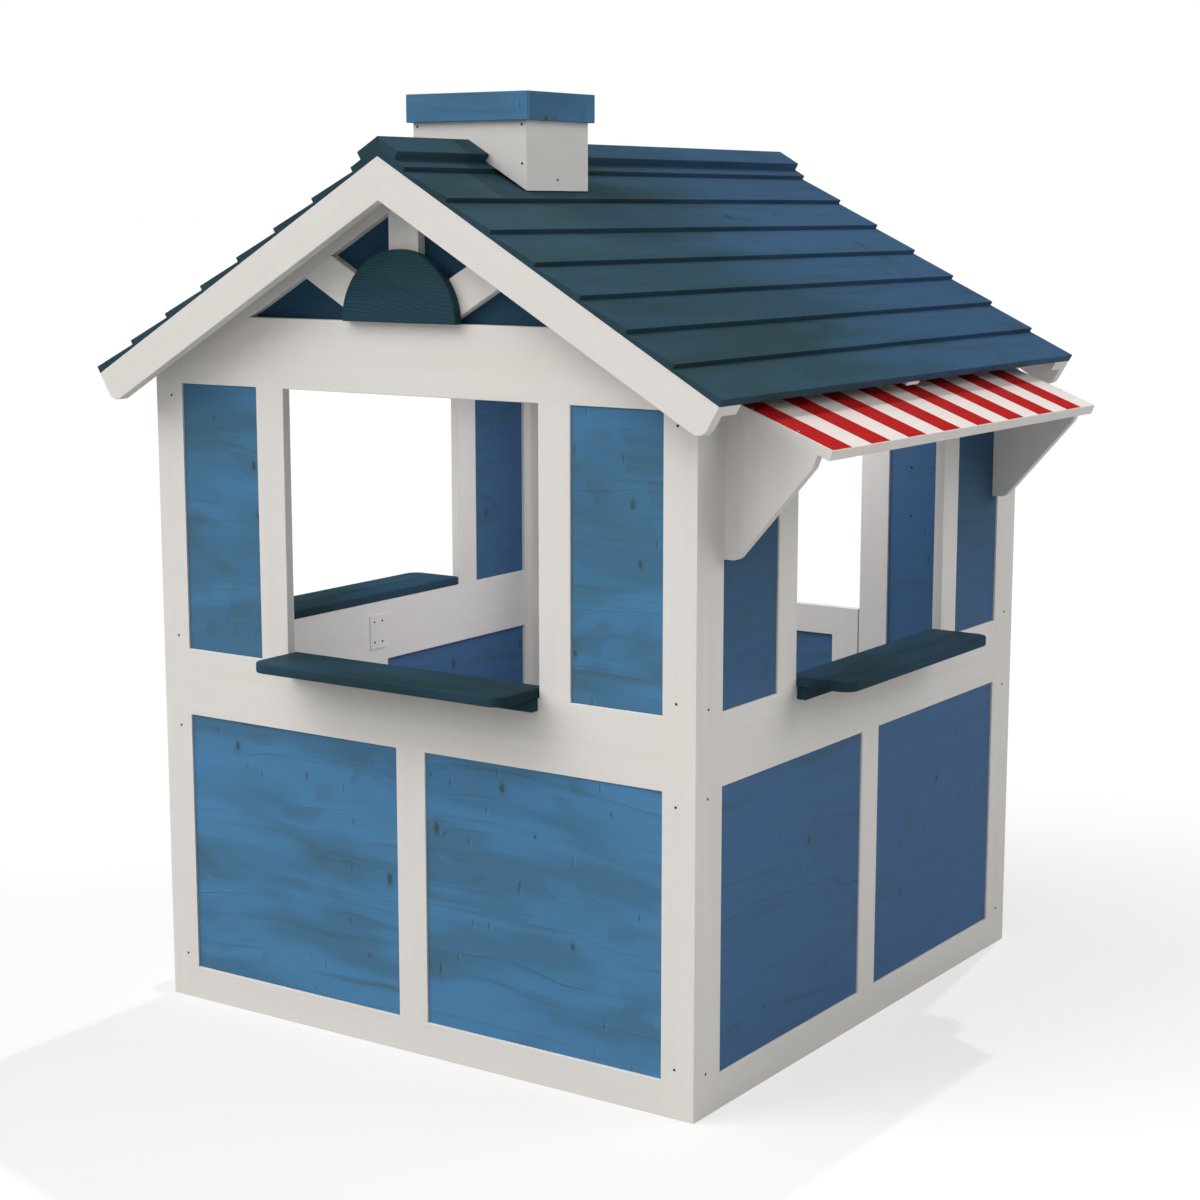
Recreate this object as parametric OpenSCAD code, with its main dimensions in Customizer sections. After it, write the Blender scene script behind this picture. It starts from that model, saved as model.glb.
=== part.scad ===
// Wooden playhouse: four framed and panelled walls, a boarded gable roof with a
// chimney, three window shelves, an awning on the right and a half door at the back.
// Built about the middle of the walls, then centred on its own outline.

/* [Walls] */
// Width over the side walls
wall_w = 1030; // [900:5:1400]
// Depth over the front and back walls
wall_d = 1057; // [900:1:1500]
// Thickness of the frame boards
board_t = 16; // [12:1:22]
// Width of the stiles, posts and jambs
board_w = 56; // [44:1:70]
// Height of the bottom rails
bottom_rail_h = 55; // [40:1:90]
// Height of the lower panels
lower_panel_h = 431; // [300:1:600]
// Height of the middle rails
mid_rail_h = 110; // [80:1:150]
// Height of the window openings
window_h = 433; // [350:1:600]
// Width of the window openings
window_w = 488; // [380:2:560]
// Height of the boards over the front and back openings
head_board_h = 109; // [80:1:140]
// Height of the rails over the side windows, at the outer face
side_rail_h = 54; // [45:1:90]
// Side of the square posts inside the corners
corner_post_w = 34; // [26:1:44]

/* [Panels] */
// Thickness of the panels
panel_t = 8; // [6:0.5:12]
// Depth of the panels behind the outer face of the frame
panel_recess = 3; // [1:0.5:4]

/* [Gable] */
// Width of the strips that follow the roof, square to the slope
gable_strip_w = 55; // [45:1:75]
// Width that the gable panels reach over the backs of the frame boards
gable_panel_lap = 15; // [8:1:25]
// Radius of the half disc
disc_r = 108; // [80:1:125]
// Depth of the rays' meeting point below the straight edge of the disc
ray_drop = 16; // [0:1:30]
// Distance of the rays' hidden inner ends beyond the place where their edges cross
ray_gap = 11.5; // [2:0.5:25]
// Angle between one ray and the next, in degrees
ray_turn = 60; // [50:1:65]

/* [Roof] */
// Pitch of the roof in degrees
roof_pitch = 30; // [25:0.5:35]
// Overhang of the eaves past the side walls, measured level
eave_overhang = 68.7; // [50:0.1:100]
// Cover of each wedge board, rounded to fill the slope
roof_board_cover = 88.8; // [75:0.1:110]
// Width of the flat board at the ridge
ridge_board_w = 52.4; // [45:0.1:70]
// Thickness of the boards at their lower edge
roof_nose_t = 12; // [9:0.5:16]
// Thickness of the wedge boards at their upper edge
roof_thin_t = 5; // [4:0.5:8]
// Width of the battens at the gables
gable_batten_w = 37; // [30:1:50]
// Width of the batten at the middle
mid_batten_w = 40; // [30:1:50]
// Distance of the middle batten forward of the middle
mid_batten_shift = 12; // [0:1:30]
// Thickness of the battens at the gables
batten_t = 16; // [12:1:20]
// Thickness of the middle batten
mid_batten_t = 6; // [5:1:20]
// Width of the bargeboards
barge_w = 55; // [45:1:75]
// Thickness of the bargeboards
barge_t = 20; // [16:1:25]
// Radius of the lower corner of the bargeboards
barge_end_r = 19; // [10:1:22]
// Width of each ridge board, on its top face
cap_w = 45; // [38:1:60]
// Thickness of the ridge boards
cap_t = 13; // [10:1:16]
// Clearance between the roof boards and the walls under them
roof_fit = 0.05; // [0.02:0.01:0.3]

/* [Chimney] */
// Width of the chimney, across the ridge
chimney_w = 216; // [160:2:260]
// Length of the chimney, along the ridge
chimney_l = 163; // [120:1:200]
// Distance of the chimney behind the front wall
chimney_setback = 162.5; // [100:0.5:300]
// Height of the chimney over the highest line of the roof underside
chimney_rise = 98.7; // [85:0.1:160]
// Height of the band around the top
band_h = 43; // [30:1:60]
// Thickness of the band and of the lid
band_t = 8; // [6:1:12]

/* [Shelves] */
// Distance that each shelf stands out from its wall
shelf_reach = 93; // [60:1:140]
// Thickness of the shelves
shelf_t = 16; // [12:1:22]
// Radius of the outer corners of the shelves
shelf_corner_r = 25; // [10:1:40]
// Clearance between a shelf and the jambs
shelf_fit = 2; // [0.5:0.5:5]
// Height of the battens under the shelves
shelf_batten_h = 19; // [14:1:30]
// Thickness of the battens under the shelves
shelf_batten_t = 16; // [10:1:22]

/* [Awning] */
// Pitch of the awning in degrees
awning_pitch = 21; // [15:0.5:24]
// Length of the awning down its slope
awning_l = 184.5; // [140:0.5:230]
// Thickness of the awning board
awning_t = 16; // [12:1:20]
// Distance that the brackets stand out from the wall
bracket_reach = 148; // [115:1:160]
// Height of the brackets along the wall
bracket_h = 213; // [160:1:260]
// Thickness of the brackets
bracket_t = 16; // [12:1:20]
// Radius of the brackets' lower corner
bracket_toe_r = 14; // [8:1:20]
// Length of the brackets' outer end, square to the awning
bracket_tip_l = 20; // [8:1:30]

/* [Door] */
// Width of the doorway between its jambs
doorway_w = 440; // [360:2:560]
// Height of the top of the door
door_top = 579; // [500:1:680]
// Clearance between the door and the ground
door_ground_gap = 17; // [8:1:30]
// Clearance between the door and each jamb
door_gap = 2.5; // [2:0.1:4]
// Width of the boards of the door frame
door_board_w = 53; // [44:1:65]
// Radius of the knob
knob_r = 16; // [12:1:20]
// Length of the knob
knob_l = 26; // [18:1:32]
// Radius of the knob's neck
knob_neck_r = 9; // [6:0.5:11]
// Thickness of the knob's rim
knob_rim_t = 8; // [5:0.5:10]
// Height of the knob's dome over its rim
knob_dome_h = 8; // [5:0.5:10]
// Distance of the knob below the top of the door
knob_drop = 60; // [40:1:100]
// Overlap of the door stop behind the door
stop_lap = 12; // [8:1:20]
// Height of the door stop
stop_h = 300; // [150:10:450]

/* [Hinges] */
// Height of each hinge
hinge_h = 60; // [45:1:80]
// Width of each hinge leaf
hinge_leaf_w = 24; // [18:1:32]
// Thickness of the hinge leaves
hinge_leaf_t = 1.6; // [1.2:0.1:2]
// Radius of the hinge knuckles
knuckle_r = 4; // [3.5:0.1:5]
// Radius of the hinge pins
pin_r = 2; // [1.5:0.1:2.2]
// Radial clearance of the pins in the knuckles
pin_fit = 0.06; // [0.02:0.01:0.1]
// Radius of the pin heads
pin_head_r = 3; // [2.5:0.1:3.5]
// Thickness of the pin heads
pin_head_t = 2; // [1:0.1:3]
// Clearance between the knuckles and the faces of the wall and the door
knuckle_clear = 0.5; // [0.2:0.1:1]
// Distance from the knuckles to the plain part of each leaf
leaf_clear = 1; // [0.5:0.1:2]
// Distance of each hinge from the ends of the door
hinge_inset = 60; // [30:1:100]

/* [Fixings] */
// Radius of the screw heads
screw_r = 2; // [1.5:0.1:4]
// Height of the screw heads
screw_t = 0.6; // [0.4:0.1:1.5]
// Clearance between the screw heads and the awning
screw_fit = 0.01; // [0.005:0.005:0.1]
// Height of the joint plates inside the walls
plate_h = 62; // [40:1:74]
// Width of the joint plates
plate_w = 46; // [30:1:60]
// Thickness of the joint plates
plate_t = 1.5; // [1:0.1:3]
// Distance of the plates' screws from their edges
plate_screw_inset = 12; // [8:0.5:14]
// Distance of the gable walls' screws from the ends of the panels
gable_screw_inset = 20; // [10:1:40]
// Distance of the side walls' screws from the ends of the panels
side_screw_inset = 10; // [8:1:40]
// Distance of the first chimney screws below the band
chimney_screw_drop = 6; // [5:1:12]
// Distance between the chimney screws
chimney_screw_pitch = 58; // [20:1:58]
// Distance of the screws in the chimney's sides below the roof's highest line
chimney_side_screw_drop = 32; // [15:1:34]
// Distance of the screws in the back panel from the door jamb
back_screw_inset = 42; // [10:1:80]
// Distance of the upper of these screws below the head board
back_screw_drop = 183; // [50:1:300]
// Distance between these two screws
back_screw_pitch = 87; // [30:1:150]
// Distance of the upper awning screws from the wall, measured level
awning_screw_inset = 39; // [20:1:60]
// Distance between the awning screws, measured level
awning_screw_pitch = 74; // [40:1:80]
// Distance of the hinge screws from the ends of the leaves
hinge_screw_inset = 12; // [8:1:20]
// Distance of the hinge screws from the outer edges of the leaves
hinge_screw_edge = 7; // [5:0.5:9]
// Gap between boards that meet within one group
seam = 0.3; // [0.2:0.05:0.6]

/* [Hidden] */
$fn = 48;

white_paint = "#d9d6d0";
blue_stain = "#3f6f9f";
dark_stain = "#2b4a5e";
red_paint = "#b31b1c";
zinc = "#9a9ca0";

// Levels, from the ground up
mid_z = bottom_rail_h + lower_panel_h;
sill_z = mid_z + mid_rail_h;
head_z = sill_z + window_h;
gable_z = head_z + head_board_h;
eave_z = head_z + side_rail_h;

// Faces of the walls
wall_x = wall_w / 2;
wall_y = wall_d / 2;
inner_x = wall_x - board_t;
inner_y = wall_y - board_t;
front_bay = wall_x - board_w;   // inner edge of the front and back stiles
side_bay = inner_y - board_w;   // inner edge of the side stiles
jamb_x = window_w / 2;
door_jamb_x = doorway_w / 2;

// Roof: the undersides of all its boards lie on one plane per slope
lean = tan(roof_pitch);
apex_z = eave_z + wall_x * lean;
slope_l = (wall_x + eave_overhang) / cos(roof_pitch);
roof_rows = round((slope_l - ridge_board_w) / roof_board_cover);
row_step = (slope_l - ridge_board_w) / roof_rows;
gable_overhang = gable_batten_w + barge_t;
roof_y = wall_y + gable_overhang;

// Chimney
chimney_top = apex_z + chimney_rise;
chimney_front = chimney_setback - wall_y;
chimney_back = chimney_front + chimney_l;
chimney_x = chimney_w / 2;

// Awning: its underside meets the wall at the head of the side windows
awning_z = head_z + awning_t / cos(awning_pitch);
awning_run = awning_l * cos(awning_pitch);

// Door and hinges
door_x = door_jamb_x - door_gap;
door_rail_h = door_board_w;
pin_x = door_jamb_x - door_gap / 2;
pin_y = wall_y + knuckle_r + knuckle_clear;
hinge_zs = [door_ground_gap + hinge_inset, door_top - hinge_inset - hinge_h];
knuckle_h = hinge_h / 3;

// Outline of the whole house, which is centred on the origin
eave_x = wall_x + eave_overhang + roof_nose_t * sin(roof_pitch);
right_x = max(eave_x, wall_x + awning_run);
left_x = max(eave_x, wall_x + shelf_reach);
front_y = max(roof_y, wall_y + shelf_reach);
back_y = max(roof_y, wall_y + knob_l);
center_x = (right_x - left_x) / 2;
center_y = (back_y - front_y) / 2;

// Box between two corners
module block(low, high) {
    translate(low) cube(high - low);
}

module both_x() {
    children();
    mirror([1, 0, 0]) children();
}

// Wall frames: X runs along the wall, the outer face is y = 0 and the inside is +Y
module on_front() {
    translate([-center_x, -center_y - wall_y, 0]) children();
}

module on_back() {
    translate([-center_x, wall_y - center_y, 0]) rotate([0, 0, 180]) children();
}

module on_right() {
    translate([wall_x - center_x, -center_y, 0]) rotate([0, 0, 90]) children();
}

module on_left() {
    translate([-wall_x - center_x, -center_y, 0]) rotate([0, 0, -90]) children();
}

module on_house() {
    translate([-center_x, -center_y, 0]) children();
}

// Slope frame: X runs down the right slope from the apex and Z stands out from it
module on_slope() {
    on_house() translate([0, 0, apex_z]) rotate([0, roof_pitch, 0]) children();
}

// Outline in the slope frame, drawn out between two places along the ridge
module slope_prism(points, y0, y1) {
    on_slope() translate([0, y1, 0]) rotate([90, 0, 0]) linear_extrude(y1 - y0) polygon(points);
}

module both_slopes() {
    children();
    translate([-2 * center_x, 0, 0]) mirror([1, 0, 0]) children();
}

// Space under the roof, seen from a gable wall
module under_roof(depth) {
    translate([0, depth, 0]) rotate([90, 0, 0]) linear_extrude(depth)
        polygon([
            [-wall_x, 0], [wall_x, 0], [wall_x, eave_z - roof_fit], [0, apex_z - roof_fit],
            [-wall_x, eave_z - roof_fit]
        ]);
}

// Space under the roof, within a side wall
module under_eave() {
    translate([-inner_y, 0, 0]) rotate([90, 0, 90]) linear_extrude(2 * inner_y)
        polygon([
            [0, 0], [board_t, 0], [board_t, eave_z + board_t * lean - roof_fit],
            [0, eave_z - roof_fit]
        ]);
}

// Boards between two levels, from the middle out to half_l
module rail(half_l, z0, z1) {
    block([-half_l, 0, z0], [half_l, board_t, z1]);
}

// The same board on both sides of the middle
module board_pair(x0, x1, z0, z1) {
    both_x() block([x0, 0, z0], [x1, board_t, z1]);
}

module panel_pair(x0, x1, z0, z1) {
    both_x() block([x0, panel_recess, z0], [x1, panel_recess + panel_t, z1]);
}

module gable_stiles() {
    intersection() {
        board_pair(front_bay, wall_x, 0, apex_z);
        under_roof(board_t);
    }
}

module gable_head_board() {
    intersection() {
        rail(front_bay, head_z, gable_z);
        under_roof(board_t);
    }
}

module gable_strips() {
    intersection() {
        both_x() translate([0, board_t, apex_z]) rotate([0, roof_pitch, 0]) rotate([90, 0, 0])
            linear_extrude(board_t)
                polygon([
                    [seam, -roof_fit], [slope_l, -roof_fit],
                    [slope_l, -gable_strip_w], [gable_strip_w * lean + seam, -gable_strip_w]
                ]);
        block([-front_bay, 0, gable_z], [front_bay, board_t, apex_z]);
    }
}

// Triangle over the head board, inside a line that is drop away from the roof
module gable_triangle(drop, base_z, depth) {
    top_z = apex_z - drop / cos(roof_pitch);
    half_w = (top_z - base_z) / lean;
    translate([0, depth, 0]) rotate([90, 0, 0]) linear_extrude(depth)
        polygon([[-half_w, base_z], [half_w, base_z], [0, top_z]]);
}

module gable_back_panel() {
    translate([0, board_t, 0])
        gable_triangle(gable_strip_w - gable_panel_lap, gable_z - gable_panel_lap, panel_t);
}

module side_stiles() {
    intersection() {
        board_pair(side_bay, inner_y, 0, apex_z);
        under_eave();
    }
}

module side_top_rail() {
    intersection() {
        rail(side_bay, head_z, apex_z);
        under_eave();
    }
}

// Pair of battens under the roof boards, between two places along the ridge
module batten(y0, y1, thick) {
    both_slopes()
        slope_prism([
            [seam, 0], [slope_l, 0], [slope_l, -thick], [thick * lean + seam, -thick]
        ], y0, y1);
}

module mid_batten(fit) {
    half_w = mid_batten_w / 2 + fit;
    batten(-mid_batten_shift - half_w, -mid_batten_shift + half_w, mid_batten_t);
}

// Front wall
module front_stiles() { color(white_paint) on_front() gable_stiles(); }
module front_bottom_rail() { color(white_paint) on_front() rail(front_bay, 0, bottom_rail_h); }
module front_mid_rail() { color(white_paint) on_front() rail(front_bay, mid_z, sill_z); }
module front_head_board() { color(white_paint) on_front() gable_head_board(); }
module front_post() { color(white_paint) on_front() rail(board_w / 2, bottom_rail_h, mid_z); }
module front_jambs() {
    color(white_paint) on_front() board_pair(jamb_x, jamb_x + board_w, sill_z, head_z);
}
module front_lower_panels() {
    color(blue_stain) on_front() panel_pair(board_w / 2, front_bay, bottom_rail_h, mid_z);
}
module front_upper_panels() {
    color(blue_stain) on_front() panel_pair(jamb_x + board_w, front_bay, sill_z, head_z);
}
module front_gable_strips() { color(white_paint) on_front() gable_strips(); }
module front_gable_panel() { color(dark_stain) on_front() gable_back_panel(); }

// Three boards that fan out from behind the half disc to the gable strips
module sun_rays() {
    root = board_w / 2 / tan(ray_turn / 2) + ray_gap;
    color(white_paint) on_front() intersection() {
        gable_triangle(gable_strip_w + seam, gable_z, board_t);
        for (tilt = [-ray_turn, 0, ray_turn])
            translate([0, 0, gable_z - ray_drop]) rotate([0, tilt, 0])
                block([-board_w / 2, 0, root], [board_w / 2, board_t, apex_z - gable_z]);
    }
}

module sun_disc() {
    color(dark_stain) on_front() intersection() {
        translate([0, 0, gable_z]) rotate([90, 0, 0]) cylinder(r = disc_r, h = board_t);
        block([-disc_r, -board_t, gable_z], [disc_r, 0, gable_z + disc_r]);
    }
}

// Right wall
module right_stiles() { color(white_paint) on_right() side_stiles(); }
module right_bottom_rail() { color(white_paint) on_right() rail(side_bay, 0, bottom_rail_h); }
module right_mid_rail() { color(white_paint) on_right() rail(side_bay, mid_z, sill_z); }
module right_top_rail() {
    color(white_paint) difference() {
        on_right() side_top_rail();
        mid_batten(seam);
    }
}
module right_post() { color(white_paint) on_right() rail(board_w / 2, bottom_rail_h, mid_z); }
module right_jambs() {
    color(white_paint) on_right() board_pair(jamb_x, jamb_x + board_w, sill_z, head_z);
}
module right_lower_panels() {
    color(blue_stain) on_right() panel_pair(board_w / 2, side_bay, bottom_rail_h, mid_z);
}
module right_upper_panels() {
    color(blue_stain) on_right() panel_pair(jamb_x + board_w, side_bay, sill_z, head_z);
}

// Left wall
module left_stiles() { color(white_paint) on_left() side_stiles(); }
module left_bottom_rail() { color(white_paint) on_left() rail(side_bay, 0, bottom_rail_h); }
module left_mid_rail() { color(white_paint) on_left() rail(side_bay, mid_z, sill_z); }
module left_top_rail() {
    color(white_paint) difference() {
        on_left() side_top_rail();
        mid_batten(seam);
    }
}
module left_post() { color(white_paint) on_left() rail(board_w / 2, bottom_rail_h, mid_z); }
module left_jambs() {
    color(white_paint) on_left() board_pair(jamb_x, jamb_x + board_w, sill_z, head_z);
}
module left_lower_panels() {
    color(blue_stain) on_left() panel_pair(board_w / 2, side_bay, bottom_rail_h, mid_z);
}
module left_upper_panels() {
    color(blue_stain) on_left() panel_pair(jamb_x + board_w, side_bay, sill_z, head_z);
}

// Back wall: a doorway between two panels of full height
module back_stiles() { color(white_paint) on_back() gable_stiles(); }
module back_bottom_rails() {
    color(white_paint) on_back() board_pair(door_jamb_x + board_w, front_bay, 0, bottom_rail_h);
}
module back_head_board() { color(white_paint) on_back() gable_head_board(); }
module back_jambs() {
    color(white_paint) on_back() board_pair(door_jamb_x, door_jamb_x + board_w, 0, head_z);
}
module back_panels() {
    color(blue_stain) on_back()
        panel_pair(door_jamb_x + board_w, front_bay, bottom_rail_h, head_z);
}
module back_gable_strips() { color(white_paint) on_back() gable_strips(); }
module back_gable_panel() { color(dark_stain) on_back() gable_back_panel(); }

module corner_posts() {
    color(white_paint) on_house() both_x() for (side = [0, 1])
        mirror([0, side, 0])
            block([inner_x - corner_post_w, inner_y - corner_post_w, 0], [inner_x, inner_y, eave_z]);
}

// Board that lies on a middle rail and fills the window from jamb to jamb
module shelf() {
    half_l = jamb_x - shelf_fit;
    translate([0, 0, sill_z]) {
        block([-half_l, shelf_corner_r - shelf_reach, 0], [half_l, board_t, shelf_t]);
        block([shelf_corner_r - half_l, -shelf_reach, 0], [half_l - shelf_corner_r, 0, shelf_t]);
        both_x() translate([half_l - shelf_corner_r, shelf_corner_r - shelf_reach, 0])
            cylinder(r = shelf_corner_r, h = shelf_t);
    }
}

module shelf_batten() {
    half_l = jamb_x - shelf_fit;
    block([-half_l, -shelf_batten_t, sill_z - shelf_batten_h], [half_l, 0, sill_z]);
}

module shelves() {
    color(dark_stain) {
        on_front() shelf();
        on_right() shelf();
        on_left() shelf();
    }
}

module shelf_battens() {
    color(dark_stain) {
        on_front() shelf_batten();
        on_right() shelf_batten();
        on_left() shelf_batten();
    }
}

// Awning frame: Y stands out from the right wall, Z is up, the shape runs along X
module awning_prism(points, x0, x1) {
    on_right() translate([x0, 0, 0]) mirror([0, 1, 0]) rotate([90, 0, 90])
        linear_extrude(x1 - x0) polygon(points);
}

module awning_board() {
    tip_z = awning_z - awning_l * sin(awning_pitch);
    color(white_paint) awning_prism([
        [0, head_z], [0, awning_z], [awning_run, tip_z],
        [awning_run - awning_t * sin(awning_pitch), tip_z - awning_t * cos(awning_pitch)]
    ], -side_bay, side_bay);
}

module awning_bracket() {
    top_z = head_z - bracket_reach * tan(awning_pitch);
    foot_z = head_z - bracket_h;
    tip_x = bracket_reach - bracket_tip_l * sin(awning_pitch);
    rotate([90, 0, 90]) linear_extrude(bracket_t) hull() {
        polygon([
            [-panel_recess, foot_z], [-panel_recess, head_z], [0, head_z],
            [bracket_reach, top_z], [tip_x, top_z - bracket_tip_l * cos(awning_pitch)],
            [0, foot_z]
        ]);
        translate([bracket_toe_r, foot_z + bracket_toe_r]) circle(r = bracket_toe_r);
    }
}

module awning_brackets() {
    color(white_paint) on_right() both_x()
        translate([side_bay - bracket_t, 0, 0]) mirror([0, 1, 0]) awning_bracket();
}

// Roof
module slope_boards() {
    slope_prism([
        [seam, 0], [ridge_board_w, 0],
        [ridge_board_w, roof_nose_t], [seam - roof_nose_t * lean, roof_nose_t]
    ], -roof_y, roof_y);
    for (row = [1:roof_rows]) {
        low_u = ridge_board_w + row * row_step;
        top_u = low_u - row_step + seam;
        slope_prism([[top_u, 0], [low_u, 0], [low_u, roof_nose_t], [top_u, roof_thin_t]],
            -roof_y, roof_y);
    }
}

module roof_boards_right() { color(dark_stain) slope_boards(); }
module roof_boards_left() {
    color(dark_stain) translate([-2 * center_x, 0, 0]) mirror([1, 0, 0]) slope_boards();
}

module roof_battens() {
    color(white_paint) {
        mid_batten(0);
        batten(-wall_y - gable_batten_w, -wall_y, batten_t);
        batten(wall_y, wall_y + gable_batten_w, batten_t);
    }
}

// Pair of boards that close a gable end, round at their lower corners
module bargeboards(y0) {
    both_slopes() {
        slope_prism([
            [seam, 0], [slope_l, 0], [slope_l, barge_end_r - barge_w],
            [slope_l - barge_end_r, -barge_w], [barge_w * lean + seam, -barge_w]
        ], y0, y0 + barge_t);
        on_slope() translate([slope_l - barge_end_r, y0 + barge_t, barge_end_r - barge_w])
            rotate([90, 0, 0]) cylinder(r = barge_end_r, h = barge_t);
    }
}

module front_bargeboards() { color(white_paint) bargeboards(-roof_y); }
module back_bargeboards() { color(white_paint) bargeboards(roof_y - barge_t); }

module ridge_boards() {
    cap_top = roof_nose_t + cap_t;
    outline = [
        [seam - roof_nose_t * lean, roof_nose_t], [cap_w - cap_top * lean, roof_nose_t],
        [cap_w - cap_top * lean, cap_top], [seam - cap_top * lean, cap_top]
    ];
    color(dark_stain) both_slopes() {
        slope_prism(outline, -roof_y, chimney_front);
        slope_prism(outline, chimney_back, roof_y);
    }
}

// Chimney: a box that sits on the noses of the roof boards
module chimney_walls() {
    seat_z = apex_z + roof_nose_t / cos(roof_pitch);
    low_z = seat_z - chimney_x * lean;
    top_z = chimney_top - band_t;
    color(white_paint) on_house() {
        for (y0 = [chimney_front, chimney_back - board_t])
            translate([0, y0 + board_t, 0]) rotate([90, 0, 0]) linear_extrude(board_t)
                polygon([
                    [-chimney_x, low_z], [0, seat_z], [chimney_x, low_z],
                    [chimney_x, top_z], [-chimney_x, top_z]
                ]);
        both_x() translate([0, chimney_back - board_t - seam, 0]) rotate([90, 0, 0])
            linear_extrude(chimney_l - 2 * (board_t + seam))
                polygon([
                    [chimney_x - board_t, low_z + board_t * lean], [chimney_x, low_z],
                    [chimney_x, top_z], [chimney_x - board_t, top_z]
                ]);
    }
}

module chimney_band() {
    z0 = chimney_top - band_h;
    color(blue_stain) on_house() {
        for (y0 = [chimney_front - band_t, chimney_back])
            block([-chimney_x - band_t, y0, z0],
                [chimney_x + band_t, y0 + band_t, chimney_top]);
        both_x() block([chimney_x, chimney_front + seam, z0],
            [chimney_x + band_t, chimney_back - seam, chimney_top]);
    }
}

module chimney_lid() {
    color(blue_stain) on_house()
        block([-chimney_x, chimney_front, chimney_top - band_t],
            [chimney_x, chimney_back, chimney_top]);
}

// Door: a framed half door, hung on the right jamb and opening outwards
module door_stiles() {
    color(white_paint) on_back()
        board_pair(door_x - door_board_w, door_x, door_ground_gap, door_top);
}

module door_rails() {
    half_l = door_x - door_board_w;
    color(white_paint) on_back() {
        rail(half_l, door_ground_gap, door_ground_gap + door_rail_h);
        rail(half_l, door_top - door_rail_h, door_top);
    }
}

module door_panel() {
    half_l = door_x - door_board_w;
    color(blue_stain) on_back()
        block([-half_l, panel_recess, door_ground_gap + door_rail_h],
            [half_l, panel_recess + panel_t, door_top - door_rail_h]);
}

// Turned knob on the free stile: a neck under a rim with a dome
module door_knob() {
    dome_z = knob_l - knob_dome_h;
    dome_r = (knob_r * knob_r + knob_dome_h * knob_dome_h) / (2 * knob_dome_h);
    color(white_paint) on_back()
        translate([door_x - door_board_w / 2, 0, door_top - knob_drop]) rotate([90, 0, 0]) {
            cylinder(r = knob_neck_r, h = dome_z);
            translate([0, 0, dome_z - knob_rim_t]) cylinder(r = knob_r, h = knob_rim_t);
            translate([0, 0, dome_z]) intersection() {
                translate([0, 0, knob_dome_h - dome_r]) sphere(r = dome_r);
                cylinder(r = knob_r, h = knob_dome_h);
            }
        }
}

module door_stop() {
    stop_z = door_top - stop_h;
    color(white_paint) on_back()
        block([door_x - stop_lap, board_t, stop_z],
            [door_jamb_x + stop_lap, 2 * board_t, door_top]);
}

// Hinge frame: the pin stands on the origin and the wall's outer face is at -Y
module on_hinges() {
    for (z0 = hinge_zs)
        on_house() translate([pin_x, pin_y, z0]) children();
}

// Leaf that reaches to +X, with the knuckles that knuckle_zs lists
module hinge_leaf(knuckle_zs) {
    face_y = wall_y - pin_y;
    clear_x = knuckle_r + leaf_clear;
    difference() {
        union() {
            block([clear_x, face_y, 0], [hinge_leaf_w, face_y + hinge_leaf_t, hinge_h]);
            for (z0 = knuckle_zs) {
                block([0, face_y, z0], [clear_x, face_y + hinge_leaf_t, z0 + knuckle_h - seam]);
                translate([0, 0, z0]) cylinder(r = knuckle_r, h = knuckle_h - seam);
            }
        }
        cylinder(r = pin_r + pin_fit, h = hinge_h);
    }
}

module hinge_wall_leaves() { color(zinc) on_hinges() hinge_leaf([0, 2 * knuckle_h]); }
module hinge_door_leaves() {
    color(zinc) on_hinges() mirror([1, 0, 0]) hinge_leaf([knuckle_h]);
}
module hinge_pins() {
    color(zinc) on_hinges() {
        cylinder(r = pin_r, h = hinge_h);
        translate([0, 0, hinge_h - seam]) cylinder(r = pin_head_r, h = pin_head_t);
    }
}

// Screw head on a wall's outer face
module screw_head() {
    rotate([90, 0, 0]) cylinder(r = screw_r, h = screw_t);
}

// Screw head on an inner face, depth behind the outer one
module inner_screw_head(depth) {
    translate([0, depth, 0]) mirror([0, 1, 0]) screw_head();
}

// Rows of heads beside both edges of a wall
module edge_screws(x, levels) {
    both_x() for (z = levels) translate([x, 0, z]) screw_head();
}

module joint_plate() {
    z0 = (mid_z + sill_z - plate_h) / 2;
    block([-plate_w / 2, board_t, z0], [plate_w / 2, board_t + plate_t, z0 + plate_h]);
}

// Four heads on the inner side of a joint plate
module plate_screws() {
    x = plate_w / 2 - plate_screw_inset;
    z = plate_h / 2 - plate_screw_inset;
    for (place = [[-x, -z], [x, -z], [-x, z], [x, z]])
        translate([place[0], 0, (mid_z + sill_z) / 2 + place[1]])
            inner_screw_head(board_t + plate_t);
}

module joint_plates() {
    color(white_paint) {
        on_front() joint_plate();
        on_right() joint_plate();
        on_left() joint_plate();
    }
}

gable_screw_x = inner_x - corner_post_w / 2;
side_screw_x = inner_y - corner_post_w / 2;
gable_screw_zs = [
    bottom_rail_h + gable_screw_inset, mid_z - gable_screw_inset,
    sill_z + gable_screw_inset, head_z - gable_screw_inset
];
side_screw_zs = [
    bottom_rail_h + side_screw_inset, mid_z - side_screw_inset, sill_z + side_screw_inset
];

module wall_edge_screws() {
    on_front() edge_screws(gable_screw_x, gable_screw_zs);
    on_back() edge_screws(gable_screw_x, gable_screw_zs);
    on_right() edge_screws(side_screw_x, side_screw_zs);
    on_left() edge_screws(side_screw_x, side_screw_zs);
}

// Two heads on the inner face of the back panel beside the hinges
module back_panel_screws() {
    x = -door_jamb_x - board_w - back_screw_inset;
    top_z = head_z - back_screw_drop;
    on_back() for (z = [top_z, top_z - back_screw_pitch])
        translate([x, 0, z]) inner_screw_head(panel_recess + panel_t);
}

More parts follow.
